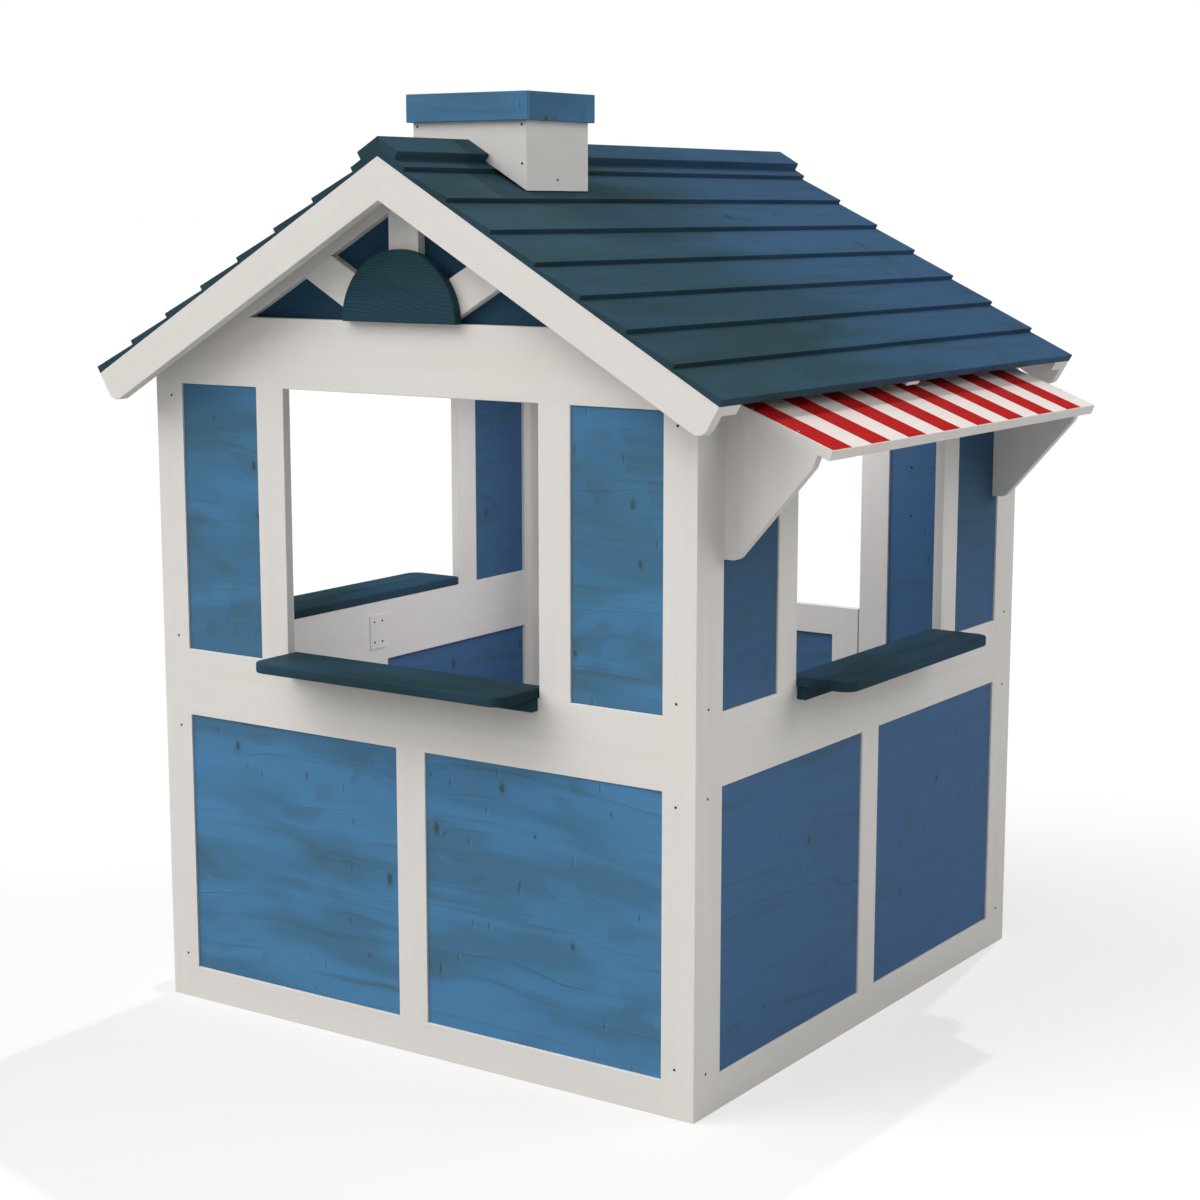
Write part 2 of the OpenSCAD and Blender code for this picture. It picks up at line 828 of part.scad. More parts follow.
module chimney_screws() {
    top_z = chimney_top - band_h - chimney_screw_drop;
    middle_y = (chimney_front + chimney_back) / 2;
    on_house() both_x() {
        for (z = [top_z, top_z - chimney_screw_pitch])
            translate([chimney_x - board_t / 2, chimney_front, z]) screw_head();
        translate([chimney_x, middle_y, apex_z - chimney_side_screw_drop])
            rotate([0, 0, 90]) screw_head();
    }
}

// Two heads on the awning over each bracket
module awning_screws() {
    x = side_bay - bracket_t / 2;
    on_right() both_x()
        for (reach = [awning_screw_inset, awning_screw_inset + awning_screw_pitch])
            translate([x, -reach, awning_z - reach * tan(awning_pitch)])
                rotate([awning_pitch, 0, 0]) translate([0, 0, screw_fit])
                    cylinder(r = screw_r, h = screw_t);
}

// Two heads on a hinge leaf that reaches to +X
module leaf_screws() {
    for (z = [hinge_screw_inset, hinge_h - hinge_screw_inset])
        translate([hinge_leaf_w - hinge_screw_edge, wall_y - pin_y + hinge_leaf_t, z])
            mirror([0, 1, 0]) screw_head();
}

module wall_screws() {
    color(zinc) {
        wall_edge_screws();
        back_panel_screws();
        chimney_screws();
        awning_screws();
        on_front() plate_screws();
        on_right() plate_screws();
        on_left() plate_screws();
        on_hinges() leaf_screws();
    }
}

module door_screws() { color(zinc) on_hinges() mirror([1, 0, 0]) leaf_screws(); }

front_stiles();
front_bottom_rail();
front_mid_rail();
front_head_board();
front_post();
front_jambs();
front_lower_panels();
front_upper_panels();
front_gable_strips();
front_gable_panel();
sun_rays();
sun_disc();
right_stiles();
right_bottom_rail();
right_mid_rail();
right_top_rail();
right_post();
right_jambs();
right_lower_panels();
right_upper_panels();
left_stiles();
left_bottom_rail();
left_mid_rail();
left_top_rail();
left_post();
left_jambs();
left_lower_panels();
left_upper_panels();
back_stiles();
back_bottom_rails();
back_head_board();
back_jambs();
back_panels();
back_gable_strips();
back_gable_panel();
corner_posts();
shelves();
shelf_battens();
awning_board();
awning_brackets();
roof_boards_left();
roof_boards_right();
roof_battens();
front_bargeboards();
back_bargeboards();
ridge_boards();
chimney_walls();
chimney_band();
chimney_lid();
joint_plates();
wall_screws();
door_stop();
hinge_wall_leaves();
hinge_pins();
door_stiles();
door_rails();
door_panel();
door_knob();
hinge_door_leaves();
door_screws();
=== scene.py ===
import math
import random

import bmesh
import bpy
from mathutils import Matrix, Vector


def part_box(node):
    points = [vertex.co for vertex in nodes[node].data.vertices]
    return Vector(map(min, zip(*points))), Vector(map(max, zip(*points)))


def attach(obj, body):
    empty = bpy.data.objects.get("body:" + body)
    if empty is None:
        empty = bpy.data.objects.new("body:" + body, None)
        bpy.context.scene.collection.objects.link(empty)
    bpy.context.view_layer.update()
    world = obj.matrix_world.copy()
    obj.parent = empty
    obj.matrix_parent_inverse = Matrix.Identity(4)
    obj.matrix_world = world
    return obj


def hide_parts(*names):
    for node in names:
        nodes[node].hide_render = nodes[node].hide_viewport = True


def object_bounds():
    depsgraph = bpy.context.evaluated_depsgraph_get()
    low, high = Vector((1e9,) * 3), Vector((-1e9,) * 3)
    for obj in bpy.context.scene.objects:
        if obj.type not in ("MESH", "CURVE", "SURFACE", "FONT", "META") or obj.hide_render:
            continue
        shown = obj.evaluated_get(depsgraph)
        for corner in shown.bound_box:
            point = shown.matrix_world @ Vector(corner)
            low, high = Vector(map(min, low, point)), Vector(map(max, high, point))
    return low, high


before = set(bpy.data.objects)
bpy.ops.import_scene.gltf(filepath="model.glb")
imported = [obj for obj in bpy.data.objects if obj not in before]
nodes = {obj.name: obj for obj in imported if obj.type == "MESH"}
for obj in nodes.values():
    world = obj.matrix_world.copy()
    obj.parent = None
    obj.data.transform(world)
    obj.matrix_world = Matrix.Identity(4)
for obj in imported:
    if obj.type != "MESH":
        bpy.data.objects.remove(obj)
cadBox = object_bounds()
print("frame loaded:", len(nodes), "nodes")


# camera: on the front right, level with the top of the roof slope
view = {"place": (2.1694, -3.2417, 1.3056), "turn": 34.212, "dip": 9.502, "lens": 70.21}

camera = bpy.data.objects.new("camera", bpy.data.cameras.new("camera"))
camera.data.lens = view["lens"]
camera.data.sensor_width = 36
camera.location = view["place"]
camera.rotation_euler = (math.radians(90 - view["dip"]), 0, math.radians(view["turn"]))
bpy.context.scene.collection.objects.link(camera)
bpy.context.scene.camera = camera


# small helpers for shader trees
def addNode(tree, kind, inputs=(), **settings):
    made = tree.nodes.new("ShaderNode" + kind)
    for key, value in settings.items():
        setattr(made, key, value)
    for key, value in dict(inputs).items():
        if isinstance(value, bpy.types.NodeSocket):
            tree.links.new(value, made.inputs[key])
        else:
            made.inputs[key].default_value = value
    return made


def calc(tree, operation, a, b=0.0, c=0.0):
    return addNode(tree, "Math", {0: a, 1: b, 2: c}, operation=operation).outputs[0]


def stretch(tree, vector, scale):
    made = addNode(tree, "VectorMath", {0: vector, 1: scale}, operation="MULTIPLY")
    return made.outputs[0]


def noise(tree, vector, scale, detail=2.0, rough=0.5):
    inputs = {"Vector": stretch(tree, vector, scale), "Scale": 1.0, "Detail": detail,
              "Roughness": rough}
    return addNode(tree, "TexNoise", inputs).outputs[0]


def ramp(tree, value, low, high, soft=True):
    kind = "SMOOTHSTEP" if soft else "LINEAR"
    inputs = {"Value": value, "From Min": low, "From Max": high}
    return addNode(tree, "MapRange", inputs, interpolation_type=kind).outputs[0]


# a value of 0 to 1 turned into a push to either side
def swing(tree, value, reach):
    return calc(tree, "MULTIPLY_ADD", value, reach, -reach / 2)


def blendColour(tree, share, first, second):
    made = addNode(tree, "Mix", data_type="RGBA")
    for socket, value in ((0, share), (6, first), (7, second)):
        if isinstance(value, bpy.types.NodeSocket):
            tree.links.new(value, made.inputs[socket])
        else:
            made.inputs[socket].default_value = (*value, 1) if socket else value
    return made.outputs[2]


def scaleColour(tree, colour, light):
    return addNode(tree, "VectorMath", {0: colour, 1: light}, operation="MULTIPLY").outputs[0]


def newMaterial(name):
    made = bpy.data.materials.new(name)
    made.use_nodes = True
    made.node_tree.nodes.clear()
    return made, made.node_tree


def closeMaterial(tree, inputs):
    shader = addNode(tree, "BsdfPrincipled", inputs)
    out = addNode(tree, "OutputMaterial")
    tree.links.new(shader.outputs[0], out.inputs[0])


# a field of scattered spots, one at most in each cell: how far off the spot is in its own
# size, its offset, whether it is there, and its chances
def scatter(tree, grain, cell, size, share, ragged=0.0):
    spread = stretch(tree, grain, (1 / cell[0], 1 / cell[1], 0))
    cells = addNode(tree, "TexVoronoi", {"Vector": spread, "Scale": 1.0, "Randomness": 1.0},
                    voronoi_dimensions="2D")
    off = addNode(tree, "VectorMath", {0: spread, 1: cells.outputs["Position"]},
                  operation="SUBTRACT").outputs[0]
    off = stretch(tree, off, (cell[0], cell[1], 0))
    chance = addNode(tree, "SeparateColor", {0: cells.outputs["Color"]}).outputs
    there = calc(tree, "GREATER_THAN", chance[1], 1 - share)
    parts = addNode(tree, "SeparateXYZ", {0: off}).outputs
    wide = calc(tree, "MULTIPLY", parts[0], 1 / size[0])
    tall = calc(tree, "MULTIPLY", parts[1], 1 / size[1])
    wide = calc(tree, "ADD", wide, ragged)
    return {"wide": wide, "tall": tall, "off": off, "across": parts[1], "there": there,
            "chance": chance}


def farFrom(tree, wide, tall):
    total = calc(tree, "ADD", calc(tree, "MULTIPLY", wide, wide),
                 calc(tree, "MULTIPLY", tall, tall))
    return calc(tree, "SQRT", total)


# how often each pattern turns in a metre: along the fibres, across them, through the board
often = {
    "knotEdge": (240, 170, 60), "bend": (1.9, 5, 5), "yearGate": (2.5, 30, 30),
    "veinDrift": (0.9, 8, 3), "veinGate": (3.3, 15, 9), "fibres": (14, 900, 300),
    "streaks": (2.4, 48, 20), "patches": (3.2, 13, 5), "markFringe": (26, 420, 60),
    "markDrift": (5, 9, 4), "markBunch": (4.5, 9, 4), "markInside": (22, 320, 60),
    "slitBend": (60, 75, 10), "specks": (520, 760, 520), "steelSpots": (160, 160, 160),
}
knotForm = {
    "ragged": 1.1, "least": 0.4, "spread": 1.1,   # of a knot's own size
    "core": 0.5, "coreEdge": 1.2, "ring": 1.0, "ringEdge": 3.0,
    "roundShare": 0.55, "slimness": 2.2,          # the other knots are slim
    "reach": (0.16, 0.5),                         # how soon the fibres close behind a knot
}


# knots, and how far the fibres part to pass around them
def knotPattern(tree, look, grain):
    form, knot = knotForm, look["knotSize"]
    ragged = swing(tree, noise(tree, grain, often["knotEdge"]), form["ragged"])
    knots = scatter(tree, grain, look["knotCell"], knot, look["knotShare"])
    there, chance = knots["there"], knots["chance"]
    size = calc(tree, "MULTIPLY_ADD", calc(tree, "POWER", chance[0], 3.0), form["spread"],
                form["least"])
    slim = calc(tree, "MULTIPLY_ADD", calc(tree, "GREATER_THAN", chance[2], form["roundShare"]),
                form["slimness"], 1.0)
    far = farFrom(tree, calc(tree, "MULTIPLY", knots["wide"], slim), knots["tall"])
    far = calc(tree, "ADD", calc(tree, "DIVIDE", far, size), ragged)
    core = calc(tree, "MULTIPLY", ramp(tree, far, form["coreEdge"], form["core"]), there)
    ring = calc(tree, "MULTIPLY", ramp(tree, far, form["ringEdge"], form["ring"]), there)

    reach = (form["reach"][0] / knot[0], form["reach"][1] / knot[1], 0)
    near = addNode(tree, "VectorMath", {0: stretch(tree, knots["off"], reach)},
                   operation="LENGTH").outputs["Value"]
    near = calc(tree, "DIVIDE", near, size)
    push = calc(tree, "EXPONENT", calc(tree, "MULTIPLY", calc(tree, "MULTIPLY", near, near), -1))
    push = calc(tree, "MULTIPLY", calc(tree, "MULTIPLY", push, there), knots["across"])
    return core, ring, push


# fibres, year lines, rough patches and knots, all in a board's own directions:
# x along the fibres, y across them and z through the board, in metres
def woodPattern(tree, look):
    grain = addNode(tree, "Attribute", attribute_name="grain").outputs["Vector"]
    places = addNode(tree, "SeparateXYZ", {0: grain}).outputs
    core, ring, push = knotPattern(tree, look, grain)
    waver = calc(tree, "MULTIPLY_ADD", noise(tree, grain, often["bend"]), look["waver"],
                 calc(tree, "SUBTRACT", places[1], push))
    years = calc(tree, "FRACT", calc(tree, "MULTIPLY", waver, 1 / look["yearWidth"]))
    years = calc(tree, "POWER", years, 4.0)
    gate = look["yearGate"]
    years = calc(tree, "MULTIPLY", years,
                 ramp(tree, noise(tree, grain, often["yearGate"]), gate, gate + 0.3))
    bent = addNode(tree, "CombineXYZ", {0: places[0], 1: waver, 2: places[2]}).outputs[0]
    return {
        "grain": grain, "along": places[0], "waver": waver, "bent": bent,
        "core": core, "ring": ring, "years": years,
        "fibres": noise(tree, bent, often["fibres"], 3.0, 0.6),
        "streaks": noise(tree, bent, often["streaks"], 3.0, 0.55),
        "patches": noise(tree, bent, often["patches"]),
    }


veinForm = {"drift": 2.6, "shade": 0.16, "shadeFrom": 0.3, "line": (0.955, 0.995),
            "gate": (0.44, 0.62)}


# veins: far-apart dark lines, each with a soft shade on one side
def veinPattern(tree, look, wood):
    form, gap = veinForm, look["veinGap"]
    place = calc(tree, "MULTIPLY_ADD", noise(tree, wood["grain"], often["veinDrift"], 1.0),
                 gap * form["drift"], wood["waver"])
    place = calc(tree, "FRACT", calc(tree, "MULTIPLY", place, 1 / gap))
    shade = calc(tree, "MULTIPLY", ramp(tree, place, form["shadeFrom"], 1.0), form["shade"])
    veins = calc(tree, "ADD", ramp(tree, place, *form["line"]), shade)
    gate = ramp(tree, noise(tree, wood["grain"], often["veinGate"]), *form["gate"])
    return calc(tree, "MULTIPLY", veins, gate)


markForm = {
    "fringe": (0.12, 0.16),     # how ragged the sides and the ends are
    "rowShift": 9.0, "drift": 2.4,
    "start": 0.55, "fadeIn": 0.4, "end": 0.95,
    "inset": 0.3, "side": (0.12, 0.88),
    "bunch": (0.5, 0.6), "inside": (1.5, 0.05),
    "brightShare": 0.8,         # of the share of dark marks
}


# planing marks: bunches of blocks that fade in along the board and end at once
def planingMarks(tree, look, wood):
    form, mark, grain = markForm, look["markSize"], wood["grain"]
    fringe = noise(tree, grain, often["markFringe"], 2.0, 0.6)
    row = calc(tree, "MULTIPLY_ADD", wood["waver"], 1 / mark[1],
               calc(tree, "MULTIPLY", fringe, form["fringe"][0]))
    rowNumber = calc(tree, "FLOOR", row)
    rowPlace = calc(tree, "FRACT", row)
    rowDice = addNode(tree, "TexWhiteNoise", {"W": rowNumber}, noise_dimensions="1D").outputs
    block = calc(tree, "MULTIPLY_ADD", rowDice[0], form["rowShift"],
                 calc(tree, "MULTIPLY", fringe, form["fringe"][1]))
    block = calc(tree, "ADD", calc(tree, "MULTIPLY", wood["along"], 1 / mark[0]), block)
    block = calc(tree, "MULTIPLY_ADD", noise(tree, grain, often["markDrift"], 1.0),
                 form["drift"], block)
    blockPlace = calc(tree, "FRACT", block)
    pair = addNode(tree, "CombineXYZ", {0: calc(tree, "FLOOR", block), 1: rowNumber}).outputs[0]
    dice = addNode(tree, "TexWhiteNoise", {"Vector": pair}, noise_dimensions="3D").outputs
    chance = addNode(tree, "SeparateColor", {0: dice[1]}).outputs
    start = calc(tree, "MULTIPLY", chance[1], form["start"])
    inset = calc(tree, "MULTIPLY", chance[2], form["inset"])
    covers = [
        ramp(tree, calc(tree, "SUBTRACT", blockPlace, start), 0.0, form["fadeIn"]),
        ramp(tree, blockPlace, 1.0, form["end"]),
        ramp(tree, calc(tree, "SUBTRACT", rowPlace, inset), 0.0, form["side"][0]),
        ramp(tree, rowPlace, 1.0, form["side"][1]),
        calc(tree, "MULTIPLY_ADD", noise(tree, wood["bent"], often["markInside"], 2.0, 0.7),
             *form["inside"]),
        ramp(tree, noise(tree, grain, often["markBunch"], 1.0), *form["bunch"]),
    ]
    shape = covers[0]
    for cover in covers[1:]:
        shape = calc(tree, "MULTIPLY", shape, cover)
    share = look["markShare"]
    dark = calc(tree, "GREATER_THAN", dice[0], 1 - share)
    bright = calc(tree, "LESS_THAN", dice[0], share * form["brightShare"])
    return calc(tree, "MULTIPLY", shape, dark), calc(tree, "MULTIPLY", shape, bright)


slitForm = {"cell": (0.075, 0.06), "size": (0.0016, 0.0085), "bend": 3.2, "side": 2.4,
            "sideWidth": 0.4, "scarEdge": (1.1, 0.5), "glintEdge": (1.2, 0.6), "scar": 0.75,
            "glint": 0.8}


# slits: short upright scars with a pale side
def slitPattern(tree, look, grain):
    form = slitForm
    bend = swing(tree, noise(tree, grain, often["slitBend"], 1.0), form["bend"])
    slits = scatter(tree, grain, form["cell"], form["size"], look["slitShare"], bend)
    far = farFrom(tree, slits["wide"], slits["tall"])
    side = calc(tree, "MULTIPLY", calc(tree, "ADD", slits["wide"], form["side"]),
                form["sideWidth"])
    beside = farFrom(tree, side, slits["tall"])
    scar = calc(tree, "MULTIPLY", ramp(tree, far, *form["scarEdge"]), slits["there"])
    glint = calc(tree, "MULTIPLY", ramp(tree, beside, *form["glintEdge"]), slits["there"])
    return calc(tree, "MULTIPLY", scar, form["scar"]), calc(tree, "MULTIPLY", glint, form["glint"])


# the wood's own light and dark: fibres, and a tone for each board
def woodLight(tree, look, wood):
    tone = addNode(tree, "Attribute", attribute_name="tone").outputs["Fac"]
    light = calc(tree, "MULTIPLY_ADD", wood["fibres"], look["fibreShare"],
                 1 - look["fibreShare"] / 2)
    return calc(tree, "MULTIPLY_ADD", tone, look["toneShare"], light)


def woodBump(tree, look, wood, yearDepth, coreDepth, distance):
    height = calc(tree, "MULTIPLY_ADD", wood["years"], -yearDepth, wood["fibres"])
    height = calc(tree, "MULTIPLY_ADD", wood["core"], coreDepth, height)
    return addNode(tree, "Bump", {"Strength": look["bump"], "Distance": distance,
                                  "Height": height}).outputs[0]


def stainedWood(name, look):
    made, tree = newMaterial(name)
    wood = woodPattern(tree, look)
    marks, bright = planingMarks(tree, look, wood)
    scar, glint = slitPattern(tree, look, wood["grain"])
    wood["core"] = calc(tree, "MAXIMUM", wood["core"], scar)
    bright = calc(tree, "MAXIMUM", bright, glint)
    drift = addNode(tree, "Attribute", attribute_name="drift").outputs["Fac"]
    damp = addNode(tree, "Attribute", attribute_name="damp").outputs["Fac"]
    colour = blendColour(tree, ramp(tree, wood["patches"], 0.36, 0.64), look["deep"], look["base"])
    drift = calc(tree, "MULTIPLY_ADD", wood["patches"], look["driftNoise"], drift)
    colour = blendColour(tree, ramp(tree, drift, 0.2, 0.8), colour, look["far"])
    layers = [
        (ramp(tree, wood["streaks"], 0.52, 0.78), look["streakShare"], look["streak"]),
        (calc(tree, "MULTIPLY", bright, ramp(tree, drift, 1.1, 0.0)), look["paleShare"],
         look["pale"]),
        (marks, look["markDepth"], look["streak"]),
        (wood["years"], look["yearShare"], look["line"]),
        (veinPattern(tree, look, wood), look["veinShare"], look["line"]),
        (wood["ring"], look["ringShare"], look["streak"]),
        (wood["core"], 0.8, look["knot"]),
        # painted shade: the boards turn a deep teal towards their heads, where the awning and the
        # eaves shade them
        (damp, 1.0, look["paintedShadeColour"]),
    ]
    for cover, share, tint in layers:
        colour = blendColour(tree, calc(tree, "MULTIPLY", cover, share), colour, tint)
    colour = scaleColour(tree, colour, woodLight(tree, look, wood))
    bump = woodBump(tree, look, wood, look["yearBump"], 0.6, look["bumpDepth"])
    rough = calc(tree, "MULTIPLY_ADD", wood["streaks"], 0.22, look["rough"] - 0.11)
    closeMaterial(tree, {"Base Color": colour, "Roughness": rough, "Normal": bump,
                         "Specular IOR Level": look["gloss"]})
    return made


def paintedWood(name, look):
    made, tree = newMaterial(name)
    wood = woodPattern(tree, look)
    colour = blendColour(tree, ramp(tree, wood["streaks"], 0.35, 0.75), look["base"], look["thin"])
    share = calc(tree, "MULTIPLY", wood["ring"], look["knotShow"])
    colour = blendColour(tree, share, colour, look["knot"])
    specks = noise(tree, wood["grain"], often["specks"], 2.0, 0.7)
    light = calc(tree, "MULTIPLY_ADD", calc(tree, "SUBTRACT", specks, 0.5), look["speckShare"],
                 woodLight(tree, look, wood))
    colour = scaleColour(tree, colour, light)
    bump = woodBump(tree, look, wood, 0.6, 0.5, 0.0006)
    rough = calc(tree, "MULTIPLY_ADD", wood["patches"], 0.16, look["rough"] - 0.08)
    closeMaterial(tree, {"Base Color": colour, "Roughness": rough, "Normal": bump,
                         "Specular IOR Level": look["gloss"]})
    return made


def platedSteel(name, look):
    made, tree = newMaterial(name)
    place = addNode(tree, "TexCoord").outputs["Object"]
    spots = noise(tree, place, often["steelSpots"], 3.0, 0.6)
    colour = blendColour(tree, ramp(tree, spots, 0.35, 0.7), look["base"], look["dull"])
    rough = calc(tree, "MULTIPLY_ADD", spots, 0.3, look["rough"] - 0.15)
    bump = addNode(tree, "Bump", {"Strength": 0.15, "Distance": 0.0003, "Height": spots})
    closeMaterial(tree, {"Base Color": colour, "Metallic": 1.0, "Roughness": rough,
                         "Normal": bump.outputs[0]})
    return made


# sizes in metres; a share says how much of a thing shows, or how often it comes
whiteLook = {
    "base": (0.765, 0.745, 0.72), "thin": (0.745, 0.722, 0.69), "knot": (0.62, 0.59, 0.54),
    "knotCell": (0.34, 0.09), "knotShare": 0.2, "knotSize": (0.004, 0.005), "knotShow": 0.1,
    "waver": 0.02, "yearWidth": 0.007, "yearGate": 0.4, "fibreShare": 0.035,
    "toneShare": 0.006, "speckShare": 0.09, "bump": 0.3, "rough": 0.62, "gloss": 0.25,
}
blueLook = {
    "base": (0.073, 0.222, 0.42), "deep": (0.061, 0.170, 0.294), "far": (0.062, 0.142, 0.29),
    "pale": (0.076, 0.245, 0.47), "streak": (0.062, 0.122, 0.15), "line": (0.043, 0.105, 0.155),
    "knot": (0.045, 0.078, 0.066), "knotCell": (0.11, 0.075), "knotShare": 0.4,
    "knotSize": (0.0042, 0.0078), "waver": 0.11, "yearWidth": 0.006, "yearGate": 0.4,
    "veinGap": 0.055, "markSize": (0.08, 0.036), "markShare": 0.5, "slitShare": 0.2,
    "streakShare": 0.7, "markDepth": 0.42, "paleShare": 0.4, "yearShare": 0.2, "veinShare": 0.45,
    "ringShare": 0.3, "driftNoise": 0.0, "fibreShare": 0.2, "toneShare": 0.03, "bump": 0.45,
    "bumpDepth": 0.0006, "yearBump": 0.5, "rough": 0.6, "gloss": 0.1,
    # colour of the painted shade that darkens the tops of the upper panels under the awning and
    # the eaves
    "paintedShadeColour": (0.025, 0.070, 0.097),
}
darkLook = {
    "base": (0.028, 0.066, 0.096), "deep": (0.024, 0.056, 0.070), "far": (0.037, 0.089, 0.167),
    "pale": (0.042, 0.095, 0.15), "streak": (0.030, 0.058, 0.062), "line": (0.016, 0.036, 0.046),
    "knot": (0.014, 0.028, 0.028), "knotCell": (0.26, 0.08), "knotShare": 0.45,
    "knotSize": (0.005, 0.006), "waver": 0.05, "yearWidth": 0.009, "yearGate": 0.4,
    "veinGap": 0.06, "markSize": (0.16, 0.045), "markShare": 0.3, "markDepth": 0.5,
    "slitShare": 0.0, "streakShare": 0.5, "bumpDepth": 0.0006,
    "paleShare": 0.3, "yearShare": 0.25, "veinShare": 0.4, "ringShare": 0.55,
    "driftNoise": 0.7, "fibreShare": 0.2, "toneShare": 0.06, "bump": 0.5, "yearBump": 0.5,
    # colour of the painted shade; no dark-stained board is given any painted shade
    "rough": 0.6, "gloss": 0.04, "paintedShadeColour": (0.012, 0.03, 0.036),
}
shelfLook = dict(darkLook, base=(0.021, 0.050, 0.066), deep=(0.019, 0.043, 0.053),
                 markShare=0.15)
gableLook = dict(darkLook, base=(0.021, 0.064, 0.118), deep=(0.021, 0.060, 0.103),
                 knotShare=0.3, markShare=0.0, driftNoise=0.0)
discLook = dict(darkLook, base=(0.022, 0.062, 0.088), deep=(0.021, 0.058, 0.08), waver=0.1,
                yearWidth=0.0048, yearGate=0.1, yearShare=0.7, line=(0.01, 0.027, 0.037),
                yearBump=1.5, bump=0.9, bumpDepth=0.0012, knotShare=0.1, markShare=0.0,
                driftNoise=0.0)
redLook = dict(whiteLook, base=(0.42, 0.008, 0.008), thin=(0.38, 0.007, 0.007),
               knot=(0.3, 0.006, 0.006), toneShare=0.0, gloss=0.08)
creamLook = dict(whiteLook, base=(0.74, 0.672, 0.645), thin=(0.72, 0.65, 0.62))
steelLook = {"base": (0.36, 0.36, 0.37), "dull": (0.2, 0.2, 0.21), "rough": 0.42}
screwLook = {"base": (0.07, 0.07, 0.075), "dull": (0.04, 0.04, 0.04), "rough": 0.5}
paleLook = {"base": (0.5, 0.5, 0.5), "dull": (0.34, 0.34, 0.34), "rough": 0.5}

whitePaint = paintedWood("white paint", whiteLook)
redPaint = paintedWood("red paint", redLook)
creamPaint = paintedWood("cream paint", creamLook)
blueStain = stainedWood("blue stain", blueLook)
darkStain = stainedWood("dark stain", darkLook)
shelfStain = stainedWood("shelf stain", shelfLook)
gableStain = stainedWood("gable stain", gableLook)
discStain = stainedWood("disc stain", discLook)
hingeSteel = platedSteel("hinge steel", steelLook)
screwSteel = platedSteel("screw steel", screwLook)
paleSteel = platedSteel("pale steel", paleLook)
print("materials made")


# boards: each is planed square in the frame and gets eased edges here
boards = {
    "ease": 0.0011,      # radius of the eased edges
    "steps": 2,
    "seed": 7,
    "corner": 25,        # an edge that turns more than this, in degrees, is eased
    "curve": 15,         # one that turns less than this is shaded as a curve
    "flat": 0.5,         # one that turns less than this isn't an edge
    "merge": 0.00001,    # corners this near are one
    "alike": 0.999,      # share of the largest size that counts as the same size
    "probe": 0.002,      # how far beside an edge a flush neighbour is looked for
    "touch": 0.0005,     # boards this near are neighbours
    "inner": 0.004,      # a neighbour's end nearer to a board's own end isn't marked
    "mitre": 0.0006,     # boards this near the middle plane of the house meet on it
    "seam": (0.00005, 0.0004),   # narrowest and widest seam that is closed
    "shift": (5, 60),    # how far apart the boards are cut out of the grain
}
dice = random.Random(boards["seed"])


def joinFlatFaces(bm):
    bmesh.ops.dissolve_limit(bm, angle_limit=math.radians(boards["flat"]), verts=bm.verts,
                             edges=bm.edges)


def cutAcross(bm, axis, level):
    ways = [int(i == axis) for i in range(3)]
    bmesh.ops.bisect_plane(bm, geom=bm.verts[:] + bm.edges[:] + bm.faces[:],
                           dist=boards["merge"], plane_co=[level * way for way in ways],
                           plane_no=ways)


def mergedCopy(node):
    bm = bmesh.new()
    bm.from_mesh(nodes[node].data)
    bmesh.ops.remove_doubles(bm, verts=bm.verts, dist=boards["merge"])
    joinFlatFaces(bm)
    bm.normal_update()
    return bm


def boxOf(verts):
    low = Vector([min(v.co[i] for v in verts) for i in range(3)])
    high = Vector([max(v.co[i] for v in verts) for i in range(3)])
    return low, high


def middleOf(verts):
    low, high = boxOf(verts)
    return (low + high) / 2


# each thing once, in the order in which it comes
def once(things):
    return list(dict.fromkeys(things))


def rounded(vector):
    return tuple(round(x, 3) for x in vector)


def groupsOf(bm):
    left, groups = set(bm.verts), []
    for first in bm.verts:
        if first not in left:
            continue
        left.remove(first)
        stack, group = [first], [first]
        while stack:
            for edge in stack.pop().link_edges:
                for vert in edge.verts:
                    if vert in left:
                        left.remove(vert)
                        stack.append(vert)
                        group.append(vert)
        groups.append(group)
    return sorted(groups, key=lambda g: rounded(middleOf(g)))


# every board of the frame as a box and the planes of its faces
def measureSolids():
    solids = []
    for node in nodes:
        bm = mergedCopy(node)
        for group in groupsOf(bm):
            faces = once(f for v in group for f in v.link_faces)
            planes = [(f.calc_center_median().copy(), f.normal.copy()) for f in faces]
            solids.append({"node": node, "box": boxOf(group), "planes": planes})
        bm.free()
    return solids


solids = measureSolids()


def isInside(solid, point):
    low, high = solid["box"]
    if any(point[i] < low[i] or point[i] > high[i] for i in range(3)):
        return False
    return all((point - place).dot(out) < 0 for place, out in solid["planes"])


# marks where a board's neighbours begin and end, so that only bare edges are eased
def scoreAtNeighbours(bm):
    low, high = boxOf(bm.verts)
    touch, inner = boards["touch"], boards["inner"]
    levels = set()
    for solid in solids:
        a, b = solid["box"]
        if any(a[i] > high[i] + touch or b[i] < low[i] - touch for i in range(3)):
            continue
        for axis in range(3):
            for end in (a[axis], b[axis]):
                if low[axis] + inner < end < high[axis] - inner:
                    levels.add((axis, round(end, 5)))
    for axis, level in sorted(levels):
        cutAcross(bm, axis, level)
    bm.normal_update()


# boards that meet on the middle plane of the house are brought together there
def closeMitres(bm):
    low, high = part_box("sun_disc")
    middle = (low.x + high.x) / 2
    for vert in bm.verts:
        if abs(vert.co.x - middle) < boards["mitre"]:
            vert.co.x = middle


# the small seams within one group of boards are closed too
def closeSeams(bm):
    narrow, wide = boards["seam"]
    ends = [end for group in groupsOf(bm) for end in boxOf(group)]
    levels = {(axis, end[axis]) for end in ends for axis in (0, 1)}
    for vert in bm.verts:
        for axis, level in sorted(levels):
            if narrow < abs(vert.co[axis] - level) < wide:
                vert.co[axis] = level
                break


